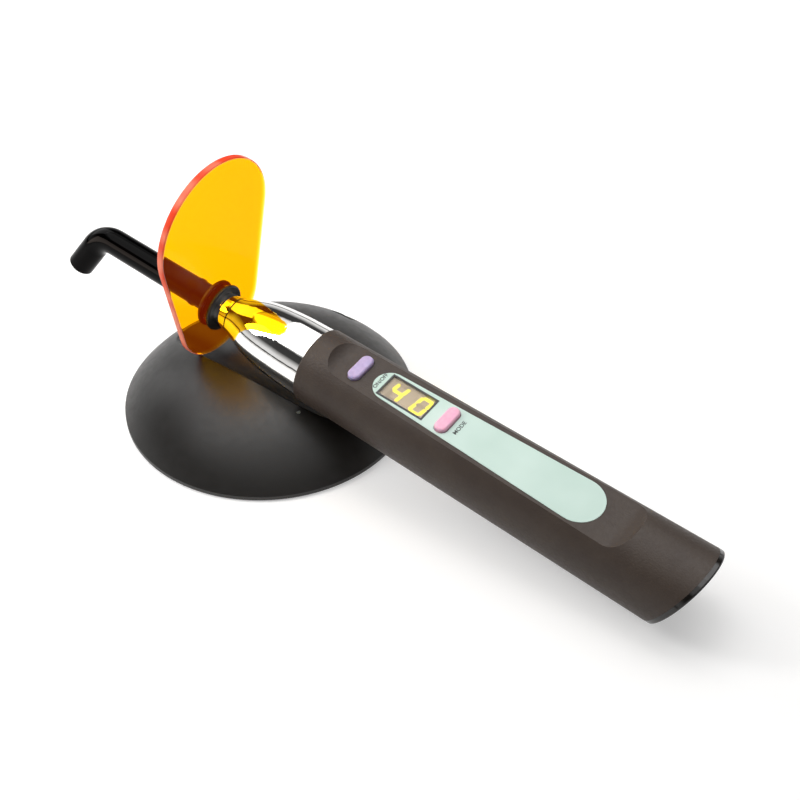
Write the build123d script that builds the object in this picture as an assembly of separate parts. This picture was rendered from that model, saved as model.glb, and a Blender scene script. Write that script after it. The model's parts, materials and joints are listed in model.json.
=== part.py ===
from build123d import *
import math
import os

os.makedirs("parts", exist_ok=True)

# Cordless dental curing light leaning on its domed charging cradle.
# Millimetres, +Z up. The origin is the centre of the cradle's rubber pad, on the table.
# The handpiece runs along +X, light guide towards -X, tail on the table.

# Charging cradle
base_radius = 50.0
base_height = 22.4
crown_radius = 100.0
crown_share_angle = 12.5
rim_height = 1.9
rim_lift = 0.5
cover_wall = 2.2
cradle_radius = 15.0
cradle_axis_height = 27.4
cradle_edge_radius = 0.5
pad_inset = 8.0
pad_ring_step = 5.0
pad_thickness = 1.4
plate_thickness = 2.4
plate_gap = 0.3
boss_inset = 21.0
boss_gap = 0.2
boss_radius = 3.2
base_screw_radius = 1.25
base_screw_head_radius = 2.5
base_screw_head_height = 1.3
base_screw_length = 8.0
ballast_inner_y = 19.6
ballast_top = 13.0
ballast_gap = 0.5
charger_board_size = (60.0, 22.0, 1.6)
charger_board_lift = 1.2
charger_coil = (3.5, 2.0)
charger_chip = (6.0, 8.0, 1.4)
pin_spacing = 10.0
pin_board_inset = 10.0
pin_radius = 0.9
pin_travel = 0.8
pin_stand_out = 0.9
pin_fit = 0.06
pin_block_size = (17.0, 6.0)
jack_size = (8.0, 10.0, 6.4)
jack_mouth_radius = 2.1
jack_pin_radius = 0.65
jack_depth = 7.5
jack_face_share = 0.75
indicator_radius = 0.7
indicator_at = (25.5, -14.0)

# Where the handpiece lies
handpiece_x = 25.5
handpiece_y = -2.9
handpiece_roll = 6.5
rest_gap = 0.3

# Handle
handle_length = 138.8
handle_front_radius = 13.0
handle_rear_radius = 14.85
handle_nose_edge = 0.5
handle_wall = 2.2
panel_height = 10.9
panel_start = 13.0
panel_tail = 25.3
panel_cove_radius = 9.0
panel_wall = 1.9
front_bore_radius = 8.7
front_bore_depth = 11.0
tail_slant = 26.0
cap_thickness = 2.0
cap_edge_radius = 0.5
plug_length = 12.8
plug_gap = 0.25
gasket_thickness = 0.6
gasket_inset = 0.9
tail_screw_y = 6.0
tail_screw_radius = 1.1
tail_screw_head_radius = 2.1
tail_screw_head_height = 1.3
tail_screw_sink = 1.5
tail_screw_length = 18.0

# Control panel
label_start = 24.0
label_tail_gap = 5.3
label_front_radius = 5.7
label_rear_radius = 8.2
label_thickness = 0.6
label_gap = 0.12
display_x = 36.3
display_size = (17.6, 9.6)
bezel_width = 0.6
window_thickness = 1.0
display_gap = 0.15
on_off_x = 17.8
mode_x = 51.7
button_length = 10.8
button_width = 4.4
button_crown = 1.35
button_edge = 0.8
button_gap = 0.2
button_flange = 0.8
button_flange_thickness = 1.2
button_ceiling_gap = 0.25
button_travel = 0.5
switch_size = 6.0
switch_plunger_radius = 1.7
board_top = 3.6
board_thickness = 1.2
board_width = 18.0
board_start = 13.0
board_end = 57.5

# Battery and chassis
battery_radius = 9.15
battery_tail_room = 12.5
battery_button = (2.9, 0.9)
battery_edge = 0.6
battery_start = 64.0
battery_drop = 0.6
contact_thickness = 0.4
contact_size = (11.0, 9.0)
chassis_gap = 0.3
chassis_wall = 1.5
chassis_top = -5.0
bulkhead_thickness = 2.4
bulkhead_head_room = 0.5
rib_inset = 5.0
pad_contact_radius = 2.2
pad_contact_thickness = 0.9
pad_contact_sink = 0.3
pad_contact_x = 47.0

# Nose and light engine
nose_length = 39.0
nose_rear_radius = 12.5
nose_swell = [(0.105, 0.105), (0.18, 0.265), (0.36, 0.65), (0.667, 0.917)]
nose_spigot_length = 9.0
spigot_gap = 0.1
nose_cavity_radius = 7.4
nose_cavity_front = 22.0
groove_width = 0.6
groove_depth = 0.45
collar_radius = 5.9
collar_end = 46.5
collar_bore_gap = 0.15
sleeve_outer_radius = 6.2
sleeve_start = 32.5
sleeve_end = 26.5
running_gap = 0.05
lens_radius = 6.0
lens_rim = 2.0
lens_crown = 2.1
led_board_radius = 7.2
led_board_thickness = 1.6
led_chip_size = 3.2
led_chip_height = 0.5
heat_sink_groove = 1.5

# Light guide
guide_radius = 4.8
guide_front_radius = 4.62
guide_rear = 26.6
guide_bend_start = 90.3
guide_bend_radius = 9.5
guide_bend_angle = 64.0
guide_tip_length = 11.0
guide_turn = 24.0
sheath_wall = 0.6
core_gap = 0.05

# Eye shield
shield_thickness = 2.6
shield_near_face = 41.6
shield_top_radius = 24.7
shield_bottom_radius = 18.6
shield_top_centre = 35.8
shield_turn = 1.9
grommet_groove_radius = 7.2
grommet_flange_radius = 8.4
grommet_flange = 1.4
grommet_edge = 0.6
shield_hole_gap = 0.1
shield_edge = 0.6

taper = (handle_rear_radius - handle_front_radius) / handle_length
slant = math.tan(math.radians(tail_slant))
seam_x = handle_length - cap_thickness
plug_start = handle_length - plug_length
panel_end = handle_length - panel_tail
label_end = panel_end - label_tail_gap
battery_length = plug_start - battery_tail_room - battery_start
far = 400.0


def save(name, shape):
    """Write one sub-part to its own STEP file."""
    shape.label = name
    export_step(shape, f"parts/{name}.step")


def box(x0, x1, y0, y1, z0, z1):
    return Pos((x0 + x1) / 2, (y0 + y1) / 2, (z0 + z1) / 2) * Box(x1 - x0, y1 - y0, z1 - z0)


def rod_x(radius, x0, x1, y=0.0, z=0.0):
    return Pos((x0 + x1) / 2, y, z) * Rot(0, 90, 0) * Cylinder(radius, x1 - x0)


def rod_z(radius, z0, z1, x=0.0, y=0.0):
    return Pos(x, y, (z0 + z1) / 2) * Cylinder(radius, z1 - z0)


def turned_x(points):
    """Revolve a closed (x, radius) outline about the X axis."""
    return revolve(Plane.XZ * make_face(Polyline(*points, close=True)), Axis.X)


def pill(x, length_y, width_x, z0, z1):
    """A slot-ended block whose long side runs across the handle."""
    outline = Rot(0, 0, 90) * SlotOverall(length_y, width_x)
    return extrude(Pos(x, 0, z0) * outline, z1 - z0)


# Charging cradle, in its own place


def dome_arc(inset):
    """Radii, centres and knee of the two arcs that make the dome's section."""
    angle = math.radians(crown_share_angle)
    normal = (math.sin(angle), math.cos(angle))
    knee = (crown_radius * normal[0], base_height - crown_radius * (1 - normal[1]))
    step = (base_radius - knee[0], rim_height - knee[1])
    shoulder = -(step[0] ** 2 + step[1] ** 2) / (2 * (step[0] * normal[0] + step[1] * normal[1]))
    crown_centre = (0.0, base_height - crown_radius)
    shoulder_centre = (knee[0] - shoulder * normal[0], knee[1] - shoulder * normal[1])
    inner_knee = (knee[0] - inset * normal[0], knee[1] - inset * normal[1])
    return crown_centre, crown_radius - inset, shoulder_centre, shoulder - inset, inner_knee


def dome_height(r, inset=0.0):
    crown_centre, crown_r, shoulder_centre, shoulder_r, knee = dome_arc(inset)
    if r <= knee[0]:
        return crown_centre[1] + math.sqrt(crown_r**2 - r**2)
    reach = shoulder_r**2 - (r - shoulder_centre[0]) ** 2
    return shoulder_centre[1] + math.sqrt(max(reach, 0.0))


def dome_body(inset, z0):
    """The dome as a solid of revolution, drawn in by inset and cut flat at z0."""
    crown_centre, crown_r, shoulder_centre, shoulder_r, knee = dome_arc(inset)
    rim_r = base_radius - inset
    rim_z = dome_height(rim_r, inset)
    top = (0.0, crown_centre[1] + crown_r)
    crown_mid_r = knee[0] / 2
    shoulder_mid_r = (knee[0] + rim_r) / 2
    crown = ThreePointArc(top, (crown_mid_r, dome_height(crown_mid_r, inset)), knee)
    shoulder = ThreePointArc(knee, (shoulder_mid_r, dome_height(shoulder_mid_r, inset)), (rim_r, rim_z))
    rest = Polyline((rim_r, rim_z), (rim_r, z0), (0.0, z0), top)
    return revolve(Plane.XZ * make_face([crown, shoulder, rest]), Axis.Z)


def cradle_cut(extra):
    """The cylinder in which the handle lies, along X over the dome's crown."""
    return rod_x(cradle_radius + extra, -far / 2, far / 2, 0.0, cradle_axis_height)


cradle_floor = cradle_axis_height - cradle_radius
plate_bottom = pad_thickness
plate_top = plate_bottom + plate_thickness
board_z = plate_top + charger_board_lift
pin_centre_x = charger_board_size[0] / 2 - pin_board_inset
pin_holes = [(pin_centre_x - pin_spacing / 2, 0.0), (pin_centre_x + pin_spacing / 2, 0.0)]
pad_radius = base_radius - pad_inset
jack_face_y = base_radius * jack_face_share
boss_x = base_radius - boss_inset
boss_y = cradle_radius + boss_gap
boss_points = [(sx * boss_x, sy * boss_y) for sx in (-1, 1) for sy in (-1, 1)]
jack_z = plate_top + jack_size[2] / 2


def jack_pocket(gap):
    return box(
        -jack_size[0] / 2 - gap,
        jack_size[0] / 2 + gap,
        jack_face_y - jack_size[1] - gap,
        base_radius,
        plate_top - gap,
        plate_top + jack_size[2] + gap,
    )


def indicator_rod(radius):
    x, y = indicator_at
    z = dome_height(math.hypot(x, y))
    return rod_z(radius, z - cover_wall - 1.0, z + 0.1, x, y)


def make_dome_cover():
    outer = dome_body(0.0, rim_lift) - cradle_cut(0.0)
    trough = outer.faces().filter_by(GeomType.CYLINDER).sort_by(Axis.Z)[-1]
    outer = fillet(trough.edges(), cradle_edge_radius)
    room = dome_body(cover_wall, -1.0) - cradle_cut(cover_wall)
    posts = Part()
    for x, y in boss_points:
        posts += rod_z(boss_radius, plate_top + 0.02, base_height, x, y)
    cover = outer - room + (posts & dome_body(cover_wall / 2, rim_lift))
    for x, y in boss_points:
        cover -= rod_z(base_screw_radius, 0.0, plate_bottom + base_screw_length + 0.6, x, y)
    for x, y in pin_holes:
        cover -= rod_z(pin_radius + pin_fit, 0.0, base_height, x, y)
    cover -= indicator_rod(indicator_radius + 0.05)
    mouth_half = jack_size[0] / 2 + 0.4
    cover -= box(-mouth_half, mouth_half, jack_face_y - 0.05, base_radius + 1, plate_top, jack_z + mouth_half)
    return cover


def make_base_plate():
    plate = rod_z(base_radius, plate_bottom, plate_top) & dome_body(cover_wall + plate_gap, 0.0)
    size_x, size_y, _ = charger_board_size
    for sx in (-1, 1):
        for sy in (-1, 1):
            post_x = sx * (size_x / 2 - 3)
            post_y = sy * (size_y / 2 - 3)
            plate += rod_z(2.2, plate_top, board_z, post_x, post_y)
    for x, y in boss_points:
        plate -= rod_z(base_screw_radius + 0.2, 0, far, x, y)
        plate -= rod_z(base_screw_head_radius + 0.2, 0, plate_bottom + base_screw_head_height + 0.1, x, y)
    return plate


def make_foot_pad():
    pad = rod_z(pad_radius, 0, pad_thickness)
    for k in range(3):
        ring_r = pad_radius - pad_ring_step * (k + 0.8)
        pad -= rod_z(ring_r, 0, 0.4) - rod_z(ring_r - 1.4, -1, 1)
    return pad


def make_base_screws():
    screws = Part()
    z0 = plate_bottom + 0.05
    for x, y in boss_points:
        head = rod_z(base_screw_head_radius, z0, z0 + base_screw_head_height, x, y)
        head -= Pos(x, y, z0) * Box(3.2, 0.7, 1.2)
        screws += head + rod_z(base_screw_radius - 0.05, z0 + base_screw_head_height, z0 + base_screw_length, x, y)
    return screws


def make_ballast_weights():
    room = dome_body(cover_wall + ballast_gap, plate_top)
    room -= cradle_cut(cover_wall + ballast_gap)
    room &= box(-far, far, -far, far, plate_top, ballast_top)
    near = room & box(-far, far, -far, -ballast_inner_y, 0, far)
    away = room & box(-far, far, ballast_inner_y, far, 0, far)
    away -= jack_pocket(ballast_gap)
    return Part() + near + away


def make_charger_board():
    size_x, size_y, thick = charger_board_size
    board = box(-size_x / 2, size_x / 2, -size_y / 2, size_y / 2, board_z, board_z + thick)
    top = board_z + thick
    coil_r, coil_height = charger_coil
    chip_x, chip_y, chip_height = charger_chip
    board += rod_z(coil_r, top, top + coil_height, coil_r - size_x / 2 + 3, 0)
    return board + box(-chip_x / 2 - 6, chip_x / 2 - 6, -chip_y / 2, chip_y / 2, top, top + chip_height)


def make_pin_block():
    z0 = board_z + charger_board_size[2]
    z1 = cradle_floor - cover_wall - 0.05
    half_x = pin_block_size[0] / 2
    half_y = pin_block_size[1] / 2
    block = box(pin_centre_x - half_x, pin_centre_x + half_x, -half_y, half_y, z0, z1)
    for x, y in pin_holes:
        block -= rod_z(pin_radius + pin_fit, z0 + 0.5, far, x, y)
    return block


def make_contact_pin(x):
    z0 = board_z + charger_board_size[2] + 0.5 + pin_travel + 0.1
    z1 = cradle_floor + pin_stand_out
    pin = rod_z(pin_radius, z0, z1, x, 0)
    return fillet(pin.edges().sort_by(Axis.Z)[-1], pin_radius * 0.8)


def make_dc_jack():
    size_x, size_y, size_z = jack_size
    body = box(-size_x / 2, size_x / 2, jack_face_y - size_y, jack_face_y, plate_top, plate_top + size_z)
    mouth = Pos(0, jack_face_y - jack_depth / 2, jack_z) * Rot(90, 0, 0) * Cylinder(jack_mouth_radius, jack_depth)
    pin = Pos(0, jack_face_y - jack_depth / 2 - 0.5, jack_z) * Rot(90, 0, 0)
    pin = pin * Cylinder(jack_pin_radius, jack_depth - 1.0)
    return body - mouth + pin


def make_indicator_lens():
    x, y = indicator_at
    lens = indicator_rod(indicator_radius)
    return lens & dome_body(-0.15, 0.0)


# Handpiece, in its own frame: origin at the handle's front face, +X to the tail, +Z out of the panel


def radius_at(x):
    return handle_front_radius + taper * x


def cone(inset, x0, x1):
    r0 = radius_at(x0) - inset
    r1 = radius_at(x1) - inset
    return turned_x([(x0, 0), (x0, r0), (x1, r1), (x1, 0)])


def behind_plane(x):
    """Everything on the tail side of the slanted plane that crosses the axis at x."""
    block = Pos(far / 2, 0, 0) * Box(far, far, far)
    return Pos(x, 0, 0) * Rot(0, tail_slant, 0) * block


def panel_cut():
    """Flat floor of the control panel, scooped up to the handle's surface at both ends."""
    lift = handle_rear_radius
    reach = math.sqrt(panel_cove_radius**2 - (panel_cove_radius - (lift - panel_height)) ** 2)
    bend = panel_cove_radius * math.sin(math.radians(30))
    bend_z = panel_height + panel_cove_radius * (1 - math.cos(math.radians(30)))
    front = ThreePointArc(
        (panel_start - reach, lift), (panel_start - bend, bend_z), (panel_start, panel_height)
    )
    rear = ThreePointArc((panel_end, panel_height), (panel_end + bend, bend_z), (panel_end + reach, lift))
    floor = Line((panel_start, panel_height), (panel_end, panel_height))
    over = Polyline(
        (panel_end + reach, lift),
        (panel_end + reach, lift + handle_wall),
        (panel_start - reach, lift + handle_wall),
        (panel_start - reach, lift),
    )
    face = Plane.XZ * make_face([front, floor, rear, over])
    return extrude(face, handle_rear_radius * 1.5, both=True)


def label_outline(gap):
    """Tapered label with round ends, grown by gap."""
    r0 = label_front_radius
    r1 = label_rear_radius
    x0 = label_start + r0
    x1 = label_end - r1
    front = Pos(x0, 0) * Circle(r0 + gap)
    rear = Pos(x1, 0) * Circle(r1 + gap)
    lean = math.asin((r1 - r0) / (x1 - x0))
    up = (-math.sin(lean), math.cos(lean))
    corners = []
    for x, r, side in ((x0, r0, 1), (x1, r1, 1), (x1, r1, -1), (x0, r0, -1)):
        corners.append((x + (r + gap) * up[0], side * (r + gap) * up[1]))
    return front + rear + make_face(Polyline(*corners, close=True))


def display_block(margin, z0, z1):
    half_x = display_size[0] / 2 + margin
    half_y = display_size[1] / 2 + margin
    return box(display_x - half_x, display_x + half_x, -half_y, half_y, z0, z1)


cavity_top = panel_height - panel_wall
label_floor = panel_height - label_thickness
cavity_start = front_bore_depth
battery_z = -battery_drop
pad_xs = (pad_contact_x - pin_spacing / 2, pad_contact_x + pin_spacing / 2)
screw_points = [(-tail_screw_y, 0.0), (tail_screw_y, 0.0)]
screw_head_x = seam_x - tail_screw_sink


def cavity(gap, x0, x1):
    return cone(handle_wall + gap, x0, x1) & box(x0, x1, -far, far, -far, cavity_top - gap)


def make_handle_shell():
    body = cone(0.0, 0.0, handle_length + handle_rear_radius)
    body = fillet(body.edges().sort_by(Axis.X)[0], handle_nose_edge)
    body -= behind_plane(seam_x)
    body -= panel_cut()
    body -= rod_x(front_bore_radius, -1, cavity_start + 1)
    body -= cavity(0.0, cavity_start, far / 2)
    body -= extrude(Pos(0, 0, label_floor) * label_outline(label_gap), far / 4)
    body -= display_block(label_gap, 0, far / 4)
    for x in (on_off_x, mode_x):
        body -= pill(x, button_length + 2 * button_gap, button_width + 2 * button_gap, 0, far / 4)
    for x in pad_xs:
        pocket = radius_at(x) - pad_contact_sink - pad_contact_thickness
        body -= rod_z(pad_contact_radius + 0.1, -far / 4, -pocket, x, 0)
    return body


def make_charge_pads():
    pads = Part()
    for x in pad_xs:
        face = -(radius_at(x) - pad_contact_sink)
        pads += rod_z(pad_contact_radius, face, face + pad_contact_thickness, x, 0)
    return pads


def make_label_plate():
    plate = extrude(Pos(0, 0, label_floor) * label_outline(0.0), label_thickness)
    plate -= display_block(label_gap, 0, far / 4)
    plate -= pill(mode_x, button_length + 2 * button_gap, button_width + 2 * button_gap, 0, far / 4)
    return plate


module_top = panel_height - window_thickness - 0.25


def make_display_bezel():
    ring = display_block(0.0, module_top + 0.02, panel_height + 0.1)
    return ring - display_block(-bezel_width, 0, far / 4)


def make_display_window():
    return display_block(-bezel_width - 0.05, module_top + 0.02, module_top + 0.02 + window_thickness)


def make_display_module():
    return display_block(-display_gap, board_top, module_top)


flange_top = cavity_top - button_ceiling_gap
flange_bottom = flange_top - button_flange_thickness
plunger_top = flange_bottom - button_travel - 0.1


def make_button(x):
    top = panel_height + button_crown
    cap = pill(x, button_length, button_width, flange_top, top)
    cap = fillet(cap.faces().sort_by(Axis.Z)[-1].edges(), button_edge)
    flange = pill(x, button_length + 2 * button_flange, button_width + 2 * button_flange, flange_bottom, flange_top)
    return cap + flange


def make_key_switches():
    keys = Part()
    for x in (on_off_x, mode_x):
        half = switch_size / 2
        keys += box(x - half, x + half, -half, half, board_top, plunger_top - 0.6)
        keys += rod_z(switch_plunger_radius, plunger_top - 0.6, plunger_top, x, 0)
    return keys


def make_control_board():
    half = board_width / 2
    z0 = board_top - board_thickness
    board = box(board_start, board_end, -half, half, z0, board_top)
    board += box(display_x - 6, display_x + 1, -4, 4, z0 - 1.1, z0)
    board += box(display_x + 4, display_x + 9, -5, 5, z0 - 1.6, z0)
    for side in (-1, 1):
        board -= rod_z(1.2, z0 - 1, far / 4, board_start + 2.5, side * (half - 2.5))
    return board


battery_end = battery_start + battery_length
front_bulkhead = battery_start - contact_thickness - 0.1
rear_bulkhead = battery_end + contact_thickness + 0.1


def make_inner_chassis():
    start = cavity_start + 0.5
    end = rear_bulkhead + 2 * bulkhead_thickness
    tray = cavity(chassis_gap, start, end) & box(start, end, -far, far, -far, chassis_top)
    tray -= cone(handle_wall + chassis_gap + chassis_wall, start - 1, battery_start - 1)
    tray -= rod_x(battery_radius + 0.1, battery_start - 2, far / 2, 0, battery_z)
    board_bottom = board_top - board_thickness
    for x in (board_start + rib_inset, display_x - display_size[0] / 2 - 0.7, board_end - bulkhead_thickness):
        rib = cavity(chassis_gap, x, x + bulkhead_thickness)
        tray += rib & box(x, x + bulkhead_thickness, -far, far, -far, board_bottom)
    for x0 in (front_bulkhead - bulkhead_thickness, rear_bulkhead):
        head = cavity(chassis_gap, x0, x0 + bulkhead_thickness)
        tray += head & box(x0, x0 + bulkhead_thickness, -far, far, -far, cavity_top - bulkhead_head_room)
    for y, z in screw_points:
        tray += rod_x(tail_screw_radius + 1.4, rear_bulkhead, plug_start - 0.1, y, z)
        tray -= rod_x(tail_screw_radius, rear_bulkhead + 1.0, far / 2, y, z)
    return tray


def make_battery_cell():
    button_radius, button_height = battery_button
    cell = rod_x(battery_radius, battery_start + button_height, battery_end, 0, battery_z)
    cell = fillet(cell.edges(), battery_edge)
    return cell + rod_x(button_radius, battery_start, battery_start + button_height + 0.1, 0, battery_z)


def make_battery_contacts():
    plates = Part()
    for x0 in (front_bulkhead, battery_end + 0.05):
        x1 = x0 + contact_thickness
        width, height = contact_size
        plates += box(x0, x1, -width / 2, width / 2, battery_z - height / 2, battery_z + height / 2)
    return plates


def make_tail_gasket():
    ring = cone(gasket_inset, 0, far / 2) - cavity(-0.1, 0, far / 2)
    return ring & behind_plane(seam_x) - behind_plane(seam_x + gasket_thickness)


def make_tail_cap():
    cap = cone(0.0, seam_x - handle_rear_radius, handle_length + handle_rear_radius)
    cap = cap - behind_plane(handle_length)
    rim = [e for e in cap.edges() if e.geom_type != GeomType.LINE and e.center().X > seam_x - 9]
    cap = fillet(rim, cap_edge_radius)
    cap = cap & behind_plane(seam_x + 0.03)
    cap -= cone(gasket_inset - 0.05, 0, far / 2) - behind_plane(seam_x + gasket_thickness + 0.03)
    plug = cavity(plug_gap, plug_start, far / 2) - behind_plane(handle_length - cap_thickness / 2)
    hollow = cavity(plug_gap + 1.8, plug_start - 1, far / 2) - behind_plane(seam_x - 1.0)
    cap += plug - hollow
    for y, z in screw_points:
        cap += rod_x(tail_screw_radius + 1.5, plug_start, seam_x, y, z) - behind_plane(seam_x)
        cap -= rod_x(tail_screw_radius + 0.15, 0, far / 2, y, z)
        cap -= rod_x(tail_screw_head_radius + 0.2, screw_head_x - tail_screw_head_height, far / 2, y, z)
    return cap


def make_tail_screws():
    screws = Part()
    x1 = screw_head_x
    for y, z in screw_points:
        head = rod_x(tail_screw_head_radius, x1 - tail_screw_head_height, x1, y, z)
        head -= Pos(x1, y, z) * Box(1.2, 0.6, 2.8)
        screws += head + rod_x(tail_screw_radius - 0.05, x1 - tail_screw_length, x1 - 1.2, y, z)
    return screws


# Nose and light engine


def nose_bell():
    """Bell curve from the collar to the handle, through shares of its length and growth."""
    points = [(-nose_length, collar_radius)]
    for along, grown in nose_swell:
        radius = collar_radius + grown * (nose_rear_radius - collar_radius)
        points.append((-nose_length * (1 - along), radius))
    points.append((0.0, nose_rear_radius))
    return Spline(*points, tangents=[(1.0, 0.1), (1.0, 0.03)])


groove_at = -nose_length * (1 - nose_swell[0][0])
groove_floor = collar_radius + nose_swell[0][1] * (nose_rear_radius - collar_radius) - groove_depth


def groove_band(margin):
    """The groove at the bell's first point, or the ring that fills it with a margin."""
    x0 = groove_at - groove_width / 2 + margin
    x1 = groove_at + groove_width / 2 - margin
    floor = groove_floor + margin
    return rod_x(nose_rear_radius, x0, x1) - rod_x(floor, x0 - 1, x1 + 1)


def nose_body():
    """The turned nose with its bores, before the groove is cut."""
    spigot_r = front_bore_radius - spigot_gap
    bore_r = guide_radius + collar_bore_gap
    sleeve_r = sleeve_outer_radius + running_gap
    outline = Polyline(
        (0.0, nose_rear_radius),
        (0.0, spigot_r),
        (nose_spigot_length, spigot_r),
        (nose_spigot_length, nose_cavity_radius),
        (-nose_cavity_front, nose_cavity_radius),
        (-nose_cavity_front, sleeve_r),
        (-sleeve_start, sleeve_r),
        (-sleeve_start, bore_r),
        (-collar_end, bore_r),
        (-collar_end, collar_radius),
        (-nose_length, collar_radius),
    )
    return revolve(Plane.XZ * make_face([nose_bell(), outline]), Axis.X)


def make_nose_cone():
    return nose_body() - groove_band(0.0)


def make_groove_ring():
    return nose_body() & groove_band(0.03)


def make_guide_sleeve():
    x0 = -sleeve_start + 0.1
    x1 = -sleeve_end
    inner = guide_radius + running_gap
    return turned_x([(x0, inner), (x0, sleeve_outer_radius), (x1, sleeve_outer_radius), (x1, inner)])


led_face_x = -nose_cavity_front + 0.9


def make_led_lens():
    x1 = led_face_x - led_chip_height - 0.1
    x0 = x1 - lens_rim
    crown = ThreePointArc((x0 - lens_crown, 0), (x0 - lens_crown * 0.72, lens_radius * 0.52), (x0, lens_radius))
    rest = Polyline((x0, lens_radius), (x1, lens_radius), (x1, 0), (x0 - lens_crown, 0))
    return revolve(Plane.XZ * make_face([crown, rest]), Axis.X)


def make_led_board():
    board = rod_x(led_board_radius, led_face_x, led_face_x + led_board_thickness)
    half = led_chip_size / 2
    return board + box(led_face_x - led_chip_height, led_face_x, -half, half, -half, half)


def make_heat_sink():
    x0 = led_face_x + led_board_thickness + 0.02
    x1 = nose_spigot_length
    sink = rod_x(nose_cavity_radius - 0.05, x0, x1)
    sink -= rod_x(3.0, x0 + 8, x1 + 1)
    for k in range(4):
        groove_x = x1 - 4.0 - 5.0 * k
        ring = rod_x(nose_cavity_radius, groove_x, groove_x + 2.0)
        sink -= ring - rod_x(nose_cavity_radius - heat_sink_groove, groove_x - 1, groove_x + 3)
    return sink


# Light guide: a straight tapered rod with a bent, fire-polished tip


def guide_solid(rear_radius, front_radius, rear_extra, tip_extra):
    x_rear = -guide_rear + rear_extra
    x_bend = -guide_bend_start
    straight = turned_x([(x_rear, 0), (x_rear, rear_radius), (x_bend, front_radius), (x_bend, 0)])
    bend = math.radians(guide_bend_angle)
    centre_z = -guide_bend_radius
    half = bend / 2
    mid = (x_bend - guide_bend_radius * math.sin(half), centre_z + guide_bend_radius * math.cos(half))
    end = (x_bend - guide_bend_radius * math.sin(bend), centre_z + guide_bend_radius * math.cos(bend))
    reach = guide_tip_length + tip_extra
    tip = (end[0] - reach * math.cos(bend), end[1] - reach * math.sin(bend))
    path = Plane.XZ * Wire([ThreePointArc((x_bend, 0), mid, end), Line(end, tip)])
    section = Plane(origin=(x_bend, 0, 0), z_dir=(-1, 0, 0)) * Circle(front_radius)
    return Rot(-guide_turn, 0, 0) * (straight + sweep(section, path=path))


def make_fibre_core():
    core = sheath_wall + core_gap
    return guide_solid(guide_radius - core, guide_front_radius - core, 0.0, 0.0)


def make_guide_sheath():
    outer = guide_solid(guide_radius, guide_front_radius, 0.0, 0.0)
    return outer - guide_solid(guide_radius - sheath_wall, guide_front_radius - sheath_wall, 1.0, 1.0)


# Eye shield and its rubber grommet


def make_light_shield():
    """Egg-shaped plate: a small round about the guide joined to a large one above."""
    lean = math.asin((shield_top_radius - shield_bottom_radius) / shield_top_centre)
    outline = Pos(0, shield_top_centre) * Circle(shield_top_radius) + Circle(shield_bottom_radius)
    corners = []
    for height, r in ((shield_top_centre, shield_top_radius), (0.0, shield_bottom_radius)):
        corners.append((r * math.cos(lean), height - r * math.sin(lean)))
    corners += [(-x, z) for x, z in reversed(corners)]
    outline += make_face(Polyline(*corners, close=True))
    outline -= Circle(grommet_groove_radius + shield_hole_gap)
    face = Plane(origin=(-shield_near_face, 0, 0), x_dir=(0, -1, 0), z_dir=(-1, 0, 0)) * outline
    plate = extrude(face, shield_thickness)
    faces = plate.faces().sort_by(Axis.X)
    rims = faces[0].outer_wire().edges() + faces[-1].outer_wire().edges()
    plate = fillet(rims, shield_edge)
    return Rot(-shield_turn, 0, 0) * plate


def make_shield_grommet():
    near = -shield_near_face + grommet_flange
    far_end = -shield_near_face - shield_thickness - grommet_flange - 0.1
    waist0 = -shield_near_face - shield_thickness - 0.08
    waist1 = -shield_near_face + 0.02
    bore = collar_radius + running_gap
    body = turned_x(
        [
            (far_end, bore),
            (far_end, grommet_flange_radius),
            (waist0, grommet_flange_radius),
            (waist0, grommet_groove_radius),
            (waist1, grommet_groove_radius),
            (waist1, grommet_flange_radius),
            (near, grommet_flange_radius),
            (near, bore),
        ]
    )
    rims = [e for e in body.edges() if abs(e.length - 2 * math.pi * grommet_flange_radius) < 0.5]
    return fillet(rims, grommet_edge)


# The handpiece leans: its tail on the table, the shield's lower edge on the dome


def lean_vector(x, y, z, slope):
    roll = math.radians(handpiece_roll)
    y1 = y * math.cos(roll) - z * math.sin(roll)
    z1 = y * math.sin(roll) + z * math.cos(roll)
    a = math.radians(slope)
    return x * math.cos(a) + z1 * math.sin(a), y1, -x * math.sin(a) + z1 * math.cos(a)


def cradle_ground(x, y):
    ground = dome_height(min(math.hypot(x, y), base_radius))
    if abs(y) < cradle_radius:
        ground = min(ground, cradle_axis_height - math.sqrt(cradle_radius**2 - y**2))
    return ground


def tail_low_point(slope):
    """Lowest height of the tail cap's rounded edge, with the handle's front face at height 0."""
    roll = math.radians(handpiece_roll)
    inner = radius_at(handle_length) - cap_edge_radius
    z = -inner * math.cos(roll)
    x = handle_length - cap_edge_radius / math.cos(math.radians(tail_slant)) + z * slant
    return lean_vector(x, -inner * math.sin(roll), z, slope)[2] - cap_edge_radius


def shield_clearance(slope):
    """Least height of the shield's lower round over the cradle, with the tail on the table."""
    low = tail_low_point(slope)
    least = far
    for face in (shield_near_face, shield_near_face + shield_thickness):
        for step in range(-60, 61):
            a = math.radians(1.5 * step)
            y = shield_bottom_radius * math.sin(a)
            z = -shield_bottom_radius * math.cos(a)
            p = lean_vector(-face, y, z, slope)
            least = min(least, p[2] - low - cradle_ground(p[0] + handpiece_x, p[1] + handpiece_y))
    return least


def rest_slope():
    low = 0.0
    high = 30.0
    for _ in range(40):
        middle = (low + high) / 2
        if shield_clearance(middle) < rest_gap:
            low = middle
        else:
            high = middle
    return high


handle_shell = make_handle_shell()
tail_cap = make_tail_cap()
slope = rest_slope()
lean = Rot(0, slope, 0) * Rot(handpiece_roll, 0, 0)
tail_low = (lean * tail_cap).bounding_box().min.Z
place = Pos(handpiece_x, handpiece_y, -tail_low) * lean

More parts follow.
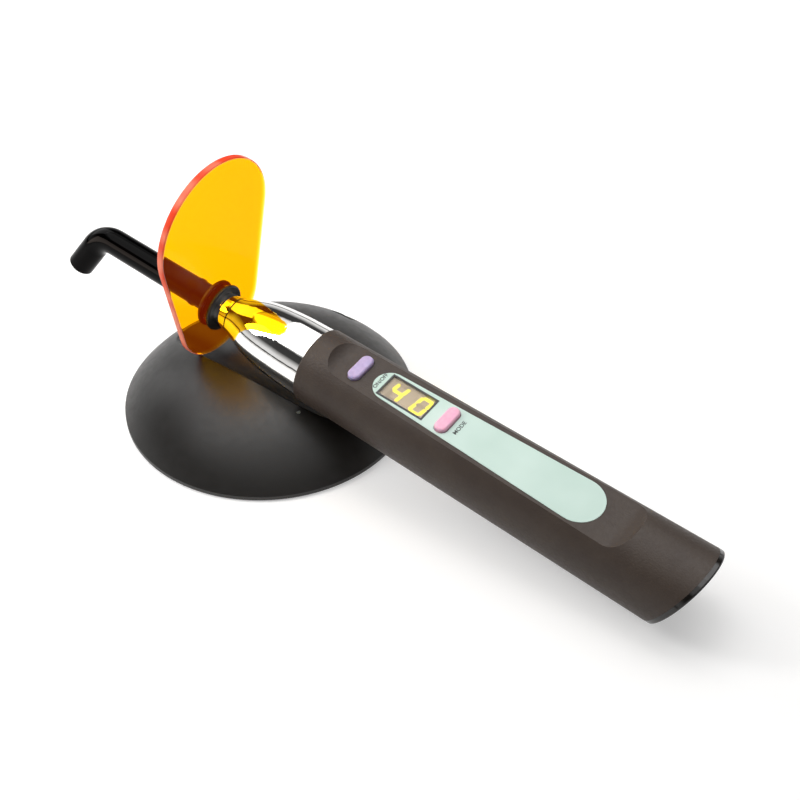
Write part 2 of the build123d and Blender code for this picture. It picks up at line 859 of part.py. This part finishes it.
base_parts = {
    "dome_cover": make_dome_cover(),
    "base_plate": make_base_plate(),
    "foot_pad": make_foot_pad(),
    "base_screws": make_base_screws(),
    "ballast_weights": make_ballast_weights(),
    "charger_board": make_charger_board(),
    "pin_block": make_pin_block(),
    "contact_pin_front": make_contact_pin(pin_holes[0][0]),
    "contact_pin_rear": make_contact_pin(pin_holes[1][0]),
    "dc_jack": make_dc_jack(),
    "indicator_lens": make_indicator_lens(),
}

handpiece_parts = {
    "handle_shell": handle_shell,
    "charge_pads": make_charge_pads(),
    "label_plate": make_label_plate(),
    "display_bezel": make_display_bezel(),
    "display_window": make_display_window(),
    "display_module": make_display_module(),
    "on_off_button": make_button(on_off_x),
    "mode_button": make_button(mode_x),
    "key_switches": make_key_switches(),
    "control_board": make_control_board(),
    "inner_chassis": make_inner_chassis(),
    "battery_cell": make_battery_cell(),
    "battery_contacts": make_battery_contacts(),
    "tail_cap": tail_cap,
    "tail_gasket": make_tail_gasket(),
    "tail_screws": make_tail_screws(),
    "nose_cone": make_nose_cone(),
    "groove_ring": make_groove_ring(),
    "guide_sleeve": make_guide_sleeve(),
    "led_lens": make_led_lens(),
    "led_board": make_led_board(),
    "heat_sink": make_heat_sink(),
    "fibre_core": make_fibre_core(),
    "guide_sheath": make_guide_sheath(),
    "light_shield": make_light_shield(),
    "shield_grommet": make_shield_grommet(),
}

for name, shape in base_parts.items():
    save(name, shape)
for name, shape in handpiece_parts.items():
    save(name, place * shape)

axis_point = place * Pos(0, 0, 0)
print("slope", round(slope, 3), "handle front at", axis_point.position)
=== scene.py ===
import json
import math

import bpy
from mathutils import Matrix, Vector


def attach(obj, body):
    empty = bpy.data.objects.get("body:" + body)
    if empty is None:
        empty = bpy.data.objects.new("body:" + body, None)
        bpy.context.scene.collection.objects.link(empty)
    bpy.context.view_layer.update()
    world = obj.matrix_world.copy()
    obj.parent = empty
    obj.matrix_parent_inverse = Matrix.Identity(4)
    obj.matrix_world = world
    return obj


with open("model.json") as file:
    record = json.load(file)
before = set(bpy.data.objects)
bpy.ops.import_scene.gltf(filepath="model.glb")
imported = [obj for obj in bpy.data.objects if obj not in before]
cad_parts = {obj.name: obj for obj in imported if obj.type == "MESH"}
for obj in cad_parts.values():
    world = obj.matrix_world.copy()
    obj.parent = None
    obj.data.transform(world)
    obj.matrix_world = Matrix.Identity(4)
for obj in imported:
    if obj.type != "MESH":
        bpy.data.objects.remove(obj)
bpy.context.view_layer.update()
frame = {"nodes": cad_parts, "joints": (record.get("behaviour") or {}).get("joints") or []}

nodes = frame["nodes"]
joints = {joint["name"]: joint for joint in frame["joints"]}
mm = 0.001
print("stage: frame loaded,", len(nodes), "nodes")

# The handpiece's own frame: x to the tail, z out of the control panel, origin at the handle's front face.
handpiece = {
    "guideJointToFront": 30.0,  # from the guide joint's point back to the front face
    "panelHeight": 10.9,  # control panel's floor above the handle's axis
}
axisX = Vector(joints["guide_turn"]["axis"]).normalized()
axisZ = Vector(joints["power_key_press"]["axis"]).normalized()
axisY = axisZ.cross(axisX).normalized()
frontPoint = Vector(joints["guide_turn"]["pos_m"]) + axisX * handpiece["guideJointToFront"] * mm
handFrame = Matrix.Translation(frontPoint) @ Matrix((axisX, axisY, axisZ)).transposed().to_4x4()


# Helpers

def clearSelection():
    if bpy.context.object and bpy.context.object.mode != "OBJECT":
        bpy.ops.object.mode_set(mode="OBJECT")
    bpy.ops.object.select_all(action="DESELECT")


def pick(*objects):
    clearSelection()
    for item in objects:
        item.select_set(True)
    bpy.context.view_layer.objects.active = objects[0]


def settle(piece, name, frameMatrix=None):
    # Puts the piece's place into its mesh, so that the object itself stays at the origin.
    pick(piece)
    if piece.type != "MESH":
        bpy.ops.object.convert(target="MESH")
        piece = bpy.context.object
    bpy.ops.object.transform_apply(location=True, rotation=True, scale=True)
    if frameMatrix is not None:
        piece.data.transform(frameMatrix)
    piece.name = name
    piece.data.name = name
    return piece


smoothAngle = 35.0  # edges sharper than this, in degrees, stay crisp


def finish(piece, material, body):
    pick(piece)
    bpy.ops.object.shade_smooth_by_angle(angle=math.radians(smoothAngle))
    piece.data.materials.clear()
    piece.data.materials.append(material)
    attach(piece, body)
    return piece


def toLinear(hexText):
    values = [int(hexText[i:i + 2], 16) / 255 for i in (1, 3, 5)]
    return tuple(v / 12.92 if v <= 0.04045 else ((v + 0.055) / 1.055) ** 2.4 for v in values) + (1.0,)


def addNode(tree, kind, inputs=None, **settings):
    node = tree.nodes.new(kind)
    for name, value in settings.items():
        setattr(node, name, value)
    for name, value in (inputs or {}).items():
        if isinstance(value, bpy.types.NodeSocket):
            tree.links.new(value, node.inputs[name])
        else:
            node.inputs[name].default_value = value
    return node


def newMaterial(name, shaderInputs):
    material = bpy.data.materials.new(name)
    material.use_nodes = True
    tree = material.node_tree
    shader = tree.nodes["Principled BSDF"]
    for key, value in shaderInputs.items():
        shader.inputs[key].default_value = value
    place = addNode(tree, "ShaderNodeTexCoord").outputs["Object"]
    return material, tree, shader, place


def addMottle(tree, shader, place, sizeMm, dark, light):
    # Slow colour change over the surface, from one hex colour to another.
    noise = addNode(tree, "ShaderNodeTexNoise", {"Vector": place, "Scale": 1 / (sizeMm * mm),
                                                 "Detail": 2.0})
    ramp = addNode(tree, "ShaderNodeValToRGB", {"Fac": noise.outputs["Fac"]})
    ramp.color_ramp.elements[0].position = 0.35
    ramp.color_ramp.elements[1].position = 0.65
    ramp.color_ramp.elements[0].color = toLinear(dark)
    ramp.color_ramp.elements[1].color = toLinear(light)
    tree.links.new(ramp.outputs["Color"], shader.inputs["Base Color"])


def addRoughness(tree, shader, place, sizeMm, low, high):
    # Small polish differences over the surface.
    noise = addNode(tree, "ShaderNodeTexNoise", {"Vector": place, "Scale": 1 / (sizeMm * mm), "Detail": 3.0})
    spread = addNode(tree, "ShaderNodeMapRange", {"Value": noise.outputs["Fac"], "From Min": 0.3,
                                                  "From Max": 0.7, "To Min": low, "To Max": high})
    tree.links.new(spread.outputs["Result"], shader.inputs["Roughness"])


def addGrain(tree, shader, place, sizeMm, heightMm):
    # Mould texture as bump, in real height.
    noise = addNode(tree, "ShaderNodeTexNoise", {"Vector": place, "Scale": 1 / (sizeMm * mm), "Detail": 3.0})
    bump = addNode(tree, "ShaderNodeBump", {"Height": noise.outputs["Fac"], "Distance": heightMm * mm,
                                            "Strength": 1.0})
    tree.links.new(bump.outputs["Normal"], shader.inputs["Normal"])


# Materials

def makeTexturedAbs():
    # Injection-moulded ABS with a spark-eroded grain: soft sheen, no clear reflection.
    # The real grain is about 0.1 mm; it is drawn at 0.7 mm so that it shows.
    material, tree, shader, place = newMaterial("sparkErodedAbs", {"Roughness": 0.5, "IOR": 1.53,
                                                                  "Specular IOR Level": 0.35})
    addMottle(tree, shader, place, 9.0, "#372C25", "#3D322A")
    addRoughness(tree, shader, place, 1.2, 0.46, 0.56)
    addGrain(tree, shader, place, 0.7, 0.09)
    return material


def makeSatinAbs():
    # Injection-moulded ABS, satin mould: broad soft highlights on a nearly black body.
    material, tree, shader, place = newMaterial("satinBlackAbs", {"Roughness": 0.42, "IOR": 1.53})
    addMottle(tree, shader, place, 14.0, "#161310", "#1A1714")
    addRoughness(tree, shader, place, 2.5, 0.38, 0.46)
    addGrain(tree, shader, place, 0.45, 0.012)
    return material


def makeGlossAbs():
    # Polished mould finish, as on the tail cap.
    material, tree, shader, place = newMaterial("glossBlackAbs", {"Roughness": 0.14, "IOR": 1.53})
    addMottle(tree, shader, place, 6.0, "#14110F", "#181512")
    addRoughness(tree, shader, place, 1.5, 0.11, 0.18)
    return material


def makeChrome():
    # Electroplated chromium on a polished turned part: mirror finish with the faintest polish haze.
    material, tree, shader, place = newMaterial("polishedChrome", {"Metallic": 1.0, "Roughness": 0.05})
    addMottle(tree, shader, place, 5.0, "#EDEBE8", "#F3F2F0")
    addRoughness(tree, shader, place, 0.8, 0.035, 0.065)
    return material


def makeGuideCladding():
    # Fused black cladding glass over a fibre bundle: deep black, only strong lights show as sharp stripes.
    material, tree, shader, place = newMaterial("blackCladdingGlass", {"Roughness": 0.05, "IOR": 1.52,
                                                                      "Specular IOR Level": 0.05})
    addMottle(tree, shader, place, 4.0, "#010101", "#030202")
    addRoughness(tree, shader, place, 3.0, 0.04, 0.07)
    return material


def makeFibreFace():
    # Polished ends of thousands of glass fibres: a fine cell pattern in grey glass.
    material, tree, shader, place = newMaterial("fibreBundle", {"Roughness": 0.12, "IOR": 1.6})
    cells = addNode(tree, "ShaderNodeTexVoronoi", {"Vector": place, "Scale": 1 / (0.18 * mm)}, feature="F1")
    ramp = addNode(tree, "ShaderNodeValToRGB", {"Fac": cells.outputs["Distance"]})
    ramp.color_ramp.elements[0].color = toLinear("#8C8578")
    ramp.color_ramp.elements[1].color = toLinear("#2C2824")
    tree.links.new(ramp.outputs["Color"], shader.inputs["Base Color"])
    return material


def makeAmberPlate():
    # Laser-cut orange filter acrylic with polished faces: clear, it absorbs blue and some green.
    # Light caught inside the sheet and leaving at the cut rim is not traced: the rim is painted a red to
    # salmon colour and given a painted glow, and the faces get a fainter dark-red painted glow, which keeps
    # dark things behind the sheet dark red. The IOR is far below acrylic's 1.49, so that the faces mirror
    # less of the white room and stay saturated.
    material, tree, shader, place = newMaterial("amberAcrylic", {"IOR": 1.06, "Roughness": 0.02,
                                                                "Emission Strength": 1.0})
    normal = addNode(tree, "ShaderNodeTexCoord").outputs["Normal"]
    facing = addNode(tree, "ShaderNodeVectorMath", {0: normal, 1: tuple(axisX)}, operation="DOT_PRODUCT")
    facing = addNode(tree, "ShaderNodeMath", {0: facing.outputs["Value"]}, operation="ABSOLUTE")
    flat = addNode(tree, "ShaderNodeMapRange", {"Value": facing.outputs[0], "From Min": 0.75,
                                                "From Max": 0.95})
    inside = addNode(tree, "ShaderNodeNewGeometry").outputs["Backfacing"]  # rim is clear seen from inside
    face = addNode(tree, "ShaderNodeMath", {0: flat.outputs["Result"], 1: inside}, operation="MAXIMUM")
    # painted glow: the opaque rim (a frosted cut edge) takes a red to salmon colour in random patches, which
    # stands in for light leaving the rim
    rimGlowPatches = addNode(tree, "ShaderNodeTexNoise", {"Vector": place, "Scale": 1 / (11 * mm), "Detail": 1.0})
    rim = addNode(tree, "ShaderNodeValToRGB", {"Fac": rimGlowPatches.outputs["Fac"]})
    rim.color_ramp.elements[0].position = 0.38
    rim.color_ramp.elements[0].color = toLinear("#E04428")
    rim.color_ramp.elements[1].position = 0.62
    rim.color_ramp.elements[1].color = toLinear("#F09A80")
    colour = addNode(tree, "ShaderNodeMix", {"Factor": face.outputs[0], "A": rim.outputs["Color"],
                                             "B": toLinear("#FFFFFF")}, data_type="RGBA")
    # painted glow: emission, dark red on the rim and fainter dark red on the faces, in place of light piped
    # to the rim and scattered in the sheet
    glow = addNode(tree, "ShaderNodeMix", {"Factor": face.outputs[0], "A": toLinear("#702418"),
                                           "B": toLinear("#420F02")}, data_type="RGBA")
    tree.links.new(face.outputs[0], shader.inputs["Transmission Weight"])
    tree.links.new(colour.outputs["Result"], shader.inputs["Base Color"])
    tree.links.new(glow.outputs["Result"], shader.inputs["Emission Color"])
    absorb = addNode(tree, "ShaderNodeVolumeAbsorption", {"Color": toLinear("#FFF200"), "Density": 1600.0})
    tree.links.new(absorb.outputs["Volume"], tree.nodes["Material Output"].inputs["Volume"])
    return material


def makeRubber(name, dark, light, roughness):
    # Moulded nitrile rubber: dull black with a light bloom.
    material, tree, shader, place = newMaterial(name, {"Roughness": roughness, "IOR": 1.52})
    addMottle(tree, shader, place, 2.5, dark, light)
    addRoughness(tree, shader, place, 0.6, roughness - 0.06, roughness + 0.08)
    addGrain(tree, shader, place, 0.2, 0.01)
    return material


def makeKey(name, dark, light):
    # Silicone rubber key with a sprayed colour: soft, slightly translucent, dull sheen.
    material, tree, shader, place = newMaterial(name, {"Roughness": 0.42, "IOR": 1.43,
                                                      "Subsurface Weight": 0.15, "Subsurface Scale": 1 * mm})
    addMottle(tree, shader, place, 1.6, dark, light)
    addGrain(tree, shader, place, 0.25, 0.008)
    return material


def makeLabelFilm():
    # Back-printed polyester film: pale mint with a fine hardcoat texture.
    material, tree, shader, place = newMaterial("printedPolyesterFilm", {"Roughness": 0.36, "IOR": 1.6})
    addMottle(tree, shader, place, 18.0, "#BFD8CD", "#C9E0D6")
    addRoughness(tree, shader, place, 1.0, 0.32, 0.42)
    addGrain(tree, shader, place, 0.3, 0.004)
    return material


def makeInk():
    # Screen-printed lettering, matt dark grey.
    material, tree, shader, place = newMaterial("screenInk", {"Roughness": 0.6})
    addMottle(tree, shader, place, 0.8, "#3C423F", "#4A504D")
    return material


def makeDisplayFrame():
    # Black gloss frame moulded round the display.
    material, tree, shader, place = newMaterial("displayFrameAbs", {"Roughness": 0.25, "IOR": 1.53})
    addMottle(tree, shader, place, 2.0, "#0B0B0B", "#141312")
    return material


def makeDisplayGlass():
    # Clear cast window over the display, with a polished face.
    return newMaterial("displayWindow", {"Base Color": toLinear("#F4EFE6"), "IOR": 1.46,
                                         "Roughness": 0.02, "Transmission Weight": 1.0})[0]


def makeDisplayBack():
    # Tan diffusing face of the lit display, a little uneven.
    material, tree, shader, place = newMaterial("displayFace", {"Roughness": 0.5})
    addMottle(tree, shader, place, 2.2, "#C2B198", "#CCBDA6")
    return material


def makeSegment(name, dark, light, glow):
    # Display segment; the lit ones also give off a little light of their own.
    material, tree, shader, place = newMaterial(name, {"Roughness": 0.45, "Emission Color": toLinear(light),
                                                      "Emission Strength": glow})
    addMottle(tree, shader, place, 0.9, dark, light)
    return material


def makeMetal(name, dark, light, low, high, sizeMm):
    # Bare metal part with a fine tool finish.
    material, tree, shader, place = newMaterial(name, {"Metallic": 1.0})
    addMottle(tree, shader, place, sizeMm * 4, dark, light)
    addRoughness(tree, shader, place, sizeMm, low, high)
    return material


def makePlain(name, dark, light, roughness, sizeMm=3.0):
    # Moulded or coated inner part, seen only where the cover opens.
    material, tree, shader, place = newMaterial(name, {"Roughness": roughness})
    addMottle(tree, shader, place, sizeMm, dark, light)
    return material


def makeLampLens():
    # Clear moulded lamp lens, unlit.
    return newMaterial("lampLens", {"Base Color": toLinear("#E8F0EA"), "IOR": 1.49,
                                    "Roughness": 0.08, "Transmission Weight": 0.85})[0]


texturedAbs = makeTexturedAbs()
satinAbs = makeSatinAbs()
glossAbs = makeGlossAbs()
chrome = makeChrome()
cladding = makeGuideCladding()
fibreFace = makeFibreFace()
amber = makeAmberPlate()
grommetRubber = makeRubber("grommetRubber", "#151210", "#1C1916", 0.5)
footRubber = makeRubber("footRubber", "#1D1C1B", "#262423", 0.7)
lavenderKey = makeKey("lavenderSilicone", "#B9A7D2", "#C5B4DC")
pinkKey = makeKey("pinkSilicone", "#F6B2CE", "#FBC0D7")
labelFilm = makeLabelFilm()
ink = makeInk()
displayFrame = makeDisplayFrame()
displayGlass = makeDisplayGlass()
displayFace = makeDisplayBack()
litSegment = makeSegment("litSegment", "#F6EE3A", "#FFF650", 0.5)
darkSegment = makeSegment("darkSegment", "#B3A189", "#BCAB93", 0.0)
gold = makeMetal("goldPlate", "#D9B36A", "#E6C27C", 0.18, 0.28, 0.3)
steel = makeMetal("zincSteel", "#9A9A9C", "#ACACAE", 0.28, 0.42, 0.4)
iron = makeMetal("castIron", "#4A4846", "#5A5856", 0.5, 0.7, 0.8)
turnedAluminium = makeMetal("turnedAluminium", "#C4C5C7", "#D2D3D5", 0.25, 0.35, 0.3)
baseAbs = makePlain("plainBlackAbs", "#1A1918", "#21201F", 0.5)
circuitBoard = makePlain("circuitBoard", "#0F4A28", "#14592F", 0.35, 2.0)
cellWrap = makePlain("cellWrap", "#24507E", "#2C5C8C", 0.3)
lampLens = makeLampLens()
print("stage: materials made")

nodeMaterials = {
    "dome_cover": satinAbs, "base_plate": baseAbs, "foot_pad": footRubber, "base_screws": steel,
    "ballast_weights": iron, "charger_board": circuitBoard, "pin_block": baseAbs,
    "contact_pin_front": gold, "contact_pin_rear": gold, "dc_jack": baseAbs, "indicator_lens": lampLens,
    "handle_shell": texturedAbs, "charge_pads": gold, "label_plate": labelFilm, "display_bezel": displayFrame,
    "display_window": displayGlass, "display_module": displayFace, "on_off_button": lavenderKey,
    "mode_button": pinkKey, "key_switches": baseAbs, "control_board": circuitBoard, "inner_chassis": baseAbs,
    "battery_cell": cellWrap, "battery_contacts": gold, "tail_cap": glossAbs, "tail_gasket": footRubber,
    "tail_screws": steel, "nose_cone": chrome, "groove_ring": grommetRubber, "guide_sleeve": grommetRubber,
    "led_lens": lampLens, "led_board": turnedAluminium, "heat_sink": turnedAluminium,
    "fibre_core": fibreFace, "guide_sheath": cladding, "light_shield": amber, "shield_grommet": grommetRubber,
}
for name, material in nodeMaterials.items():
    nodes[name].data.materials.clear()
    nodes[name].data.materials.append(material)
print("stage: CAD nodes dressed")


# Printed words on the control panel

lettering = {
    "capHeight": 1.35,
    "boldness": 0.025,
    "lift": 0.02,
    "thickness": 0.03,
    "words": [
        {"text": "ON/OFF", "name": "wordOnOff", "x": 25.75, "length": 6.9},
        {"text": "MODE", "name": "wordMode", "x": 56.4, "length": 5.9},
    ],
}


def makeWord(word):
    clearSelection()
    bpy.ops.object.text_add()
    text = bpy.context.object
    text.data.body = word["text"]
    text.data.align_x = "CENTER"
    text.data.align_y = "CENTER"
    text.data.extrude = lettering["thickness"] / 2 * mm
    text.data.size = lettering["capHeight"] / 0.73 * mm
    text.data.offset = lettering["boldness"] * mm
    bpy.context.view_layer.update()
    text.scale.x = word["length"] * mm / text.dimensions.x
    text.rotation_euler.z = math.radians(90)
    height = handpiece["panelHeight"] + lettering["lift"] + lettering["thickness"] / 2
    text.location = (word["x"] * mm, 0, height * mm)
    piece = settle(text, word["name"], handFrame)
    return finish(piece, ink, "handpiece")


for word in lettering["words"]:
    makeWord(word)
print("stage: lettering made")


# Two seven-segment digits behind the display's window

digits = {
    "value": "40",
    "firstX": 32.5,
    "pitch": 9.1,
    "width": 3.7,
    "height": 6.6,
    "stroke": 1.25,
    "gap": 0.12,
    "slant": 8.0,
    "top": 9.72,
    "thickness": 0.05,
}
segmentsOf = {"4": "bcfg", "0": "abcdef"}


def makeSegmentBar(letter):
    # One elongated hexagon, in the digit's own plane: x across the digit, y up it.
    halfWidth = digits["width"] / 2
    halfHeight = digits["height"] / 2
    places = {
        "a": (0, halfHeight, 0), "g": (0, 0, 0), "d": (0, -halfHeight, 0),
        "f": (-halfWidth, halfHeight / 2, 90), "b": (halfWidth, halfHeight / 2, 90),
        "e": (-halfWidth, -halfHeight / 2, 90), "c": (halfWidth, -halfHeight / 2, 90),
    }
    x, y, turn = places[letter]
    length = (digits["width"] if turn == 0 else halfHeight) - digits["gap"]
    clearSelection()
    bpy.ops.mesh.primitive_circle_add(vertices=6, radius=digits["stroke"] / math.sqrt(3) * mm,
                                      fill_type="NGON", rotation=(0, 0, math.radians(30)))
    bar = bpy.context.object
    bpy.ops.object.transform_apply(location=False, rotation=True, scale=True)
    stretch = (length - digits["stroke"]) / 2 * mm
    for vertex in bar.data.vertices:
        if abs(vertex.co.x) > 1e-6:
            vertex.co.x += math.copysign(stretch, vertex.co.x)
    bar.rotation_euler.z = math.radians(turn)
    bar.location = (x * mm, y * mm, 0)
    bpy.ops.object.transform_apply(location=True, rotation=True, scale=True)
    bpy.ops.object.mode_set(mode="EDIT")
    bpy.ops.mesh.select_all(action="SELECT")
    rise = (0, 0, digits["thickness"] * mm)
    bpy.ops.mesh.extrude_region_move(TRANSFORM_OT_translate={"value": rise})
    bpy.ops.object.mode_set(mode="OBJECT")
    return bar


def makeDigit(index, character, lit):
    wanted = segmentsOf[character]
    bars = [makeSegmentBar(letter) for letter in "abcdefg" if (letter in wanted) == lit]
    pick(*bars)
    if len(bars) > 1:
        bpy.ops.object.join()
    digit = bpy.context.object
    lean = math.tan(math.radians(digits["slant"]))
    for vertex in digit.data.vertices:
        vertex.co.x += vertex.co.y * lean
    digit.location = ((digits["firstX"] + index * digits["pitch"]) * mm, 0, digits["top"] * mm)
    state = "Lit" if lit else "Unlit"
    piece = settle(digit, f"digit{index}{state}", handFrame)
    bpy.ops.object.mode_set(mode="EDIT")
    bpy.ops.mesh.select_all(action="SELECT")
    bpy.ops.mesh.normals_make_consistent(inside=False)
    bpy.ops.object.mode_set(mode="OBJECT")
    return finish(piece, litSegment if lit else darkSegment, "handpiece")


for index, character in enumerate(digits["value"]):
    makeDigit(index, character, True)
    if character != "8":
        makeDigit(index, character, False)
print("stage: display digits made")


# Thin stop ring on the light guide, just in front of the shield's grommet

stopRing = {"x": -53.0, "radius": 5.02, "inner": 4.7, "width": 1.3, "edge": 0.2}


def makeStopRing():
    clearSelection()
    bpy.ops.mesh.primitive_cylinder_add(vertices=96, radius=stopRing["radius"] * mm,
                                        depth=stopRing["width"] * mm, end_fill_type="NOTHING",
                                        rotation=(0, math.radians(90), 0),
                                        location=(stopRing["x"] * mm, 0, 0))
    ring = bpy.context.object
    wall = ring.modifiers.new("wall", "SOLIDIFY")
    wall.thickness = (stopRing["radius"] - stopRing["inner"]) * mm
    wall.offset = -1.0
    bpy.ops.object.modifier_apply(modifier="wall")
    edge = ring.modifiers.new("edge", "BEVEL")
    edge.width = stopRing["edge"] * mm
    edge.segments = 3
    edge.limit_method = "ANGLE"
    bpy.ops.object.modifier_apply(modifier="edge")
    piece = settle(ring, "guideStopRing", handFrame)
    return finish(piece, cladding, "guide")


makeStopRing()
print("stage: stop ring made")


# Floor, light and camera

studio = {
    "floorSize": 6.0,  # metres
    "floorColour": "#DAD9D8",
    "floorLift": 0.4,  # added where the camera, a reflection or the shield looks at the floor
    "ambient": 0.2,
    "horizon": [  # how high a reflection looks, as the sine of its angle, and how bright the room is there
        (0.0, 0.03), (0.045, 0.03), (0.055, 0.85), (0.18, 0.8), (0.40, 0.05), (0.66, 0.04), (0.72, 0.95),
    ],
}


def addSeenMask(tree):
    # 1 where the camera, a reflection or a see-through part looks, 0 for light that falls on the object.
    path = addNode(tree, "ShaderNodeLightPath")
    mirrored = addNode(tree, "ShaderNodeMath", {0: path.outputs["Is Glossy Ray"],
                                                1: path.outputs["Is Transmission Ray"]}, operation="MAXIMUM")
    seen = addNode(tree, "ShaderNodeMath", {0: path.outputs["Is Camera Ray"], 1: mirrored.outputs[0]},
                   operation="MAXIMUM")
    return path, mirrored.outputs[0], seen.outputs[0]


def makeFloor():
    clearSelection()
    bpy.ops.mesh.primitive_plane_add(size=studio["floorSize"], location=(0, 0, 0))
    floor = settle(bpy.context.object, "floor")
    material, tree, shader, place = newMaterial("paleSweep", {"Base Color": toLinear(studio["floorColour"]),
                                                             "Roughness": 0.8, "Specular IOR Level": 0.1})
    seen = addSeenMask(tree)[2]
    lift = addNode(tree, "ShaderNodeMath", {0: seen, 1: studio["floorLift"]}, operation="MULTIPLY")
    shader.inputs["Emission Color"].default_value = (1, 1, 1, 1)
    tree.links.new(lift.outputs[0], shader.inputs["Emission Strength"])
    floor.data.materials.append(material)
    return floor


def makeWorld():
    # White for the camera. Reflections see a white low band, a dark wall over it and a white ceiling.
    world = bpy.data.worlds.new("studio")
    bpy.context.scene.world = world
    world.use_nodes = True
    tree = world.node_tree
    ambient = tree.nodes["Background"]
    ambient.inputs["Color"].default_value = (1.0, 0.99, 0.98, 1)
    ambient.inputs["Strength"].default_value = studio["ambient"]
    path, mirrored = addSeenMask(tree)[:2]
    direction = addNode(tree, "ShaderNodeTexCoord").outputs["Generated"]
    height = addNode(tree, "ShaderNodeSeparateXYZ", {"Vector": direction})
    bands = addNode(tree, "ShaderNodeValToRGB", {"Fac": height.outputs["Z"]})
    for index, (position, value) in enumerate(studio["horizon"]):
        stops = bands.color_ramp.elements
        stop = stops[index] if index < 2 else stops.new(position)
        stop.position = position
        stop.color = (value, value, value, 1)
    reflected = addNode(tree, "ShaderNodeBackground", {"Color": bands.outputs["Color"], "Strength": 1.0})
    white = addNode(tree, "ShaderNodeBackground", {"Color": (1, 1, 1, 1), "Strength": 1.0})
    lower = addNode(tree, "ShaderNodeMixShader", {"Fac": path.outputs["Is Camera Ray"], 1: ambient.outputs[0],
                                                  2: white.outputs[0]})
    mixed = addNode(tree, "ShaderNodeMixShader", {"Fac": mirrored, 1: lower.outputs[0],
                                                  2: reflected.outputs[0]})
    tree.links.new(mixed.outputs[0], tree.nodes["World Output"].inputs["Surface"])


softBoxes = {
    "backBox": {"at": (0.0, 0.42, 0.95), "width": 1.0, "height": 1.0, "watts": 5.0},
    "frontBox": {"at": (-0.234, -0.191, 0.269), "width": 0.11, "height": 0.21, "watts": 0.8,
                 "skips": ["guide_sheath", "dome_cover"]},
    "topBox": {"at": (-0.25, -0.1, 0.85), "width": 0.8, "height": 0.8, "watts": 3.0},
    "sideBox": {"at": (-0.55, 0.12, 0.32), "width": 0.4, "height": 0.4, "watts": 0.9},
    "stripBox": {"at": (-0.283, -0.376, 0.135), "width": 0.5, "height": 0.22, "watts": 1.5,
                 "aim": (-0.05, -0.005, 0.04), "tint": "#FFEADC", "only": ["guide_sheath"]},
}
sharedAim = (0, 0, 0.03)  # near the middle of the cradle


def makeSoftBox(name, box):
    # A box lights everything, or "only" the pieces it names, or all but those it "skips".
    lamp = bpy.data.lights.new(name, "AREA")
    lamp.shape = "RECTANGLE"
    lamp.size = box["width"]
    lamp.size_y = box["height"]
    lamp.energy = box["watts"]
    lamp.use_nodes = True
    lamp.node_tree.nodes["Emission"].inputs["Color"].default_value = toLinear(box.get("tint", "#FFFFFF"))
    lampObject = bpy.data.objects.new(name, lamp)
    bpy.context.scene.collection.objects.link(lampObject)
    lampObject.visible_camera = False
    place = Vector(box["at"])
    lampObject.location = place
    toAim = Vector(box.get("aim", sharedAim)) - place
    lampObject.rotation_euler = toAim.to_track_quat("-Z", "Y").to_euler()
    linkedNames = box.get("only", []) + box.get("skips", [])
    if linkedNames:
        receivers = bpy.data.collections.new(name + "Receivers")
        lampObject.light_linking.receiver_collection = receivers
        for nodeName in linkedNames:
            receivers.objects.link(nodes[nodeName])
        for entry in receivers.collection_objects:
            entry.light_linking.link_state = "INCLUDE" if "only" in box else "EXCLUDE"


cameraSet = {
    "at": (0.2713, -0.2847, 0.3495),
    "forward": (-0.4477, 0.5942, -0.6682),
    "up": (-0.3925, 0.5409, 0.7439),
    "lens": 67.5,
}


def makeCamera():
    data = bpy.data.cameras.new("photoCamera")
    data.lens = cameraSet["lens"]
    data.sensor_width = 36.0
    camera = bpy.data.objects.new("photoCamera", data)
    bpy.context.scene.collection.objects.link(camera)
    backward = -Vector(cameraSet["forward"]).normalized()
    right = Vector(cameraSet["up"]).cross(backward).normalized()
    up = backward.cross(right)
    turn = Matrix((right, up, backward)).transposed().to_4x4()
    camera.matrix_world = Matrix.Translation(Vector(cameraSet["at"])) @ turn
    bpy.context.scene.camera = camera


makeFloor()
makeWorld()
for name, box in softBoxes.items():
    makeSoftBox(name, box)
makeCamera()
bpy.context.scene.view_settings.view_transform = "Standard"
print("stage: floor, light and camera set")

clearSelection()
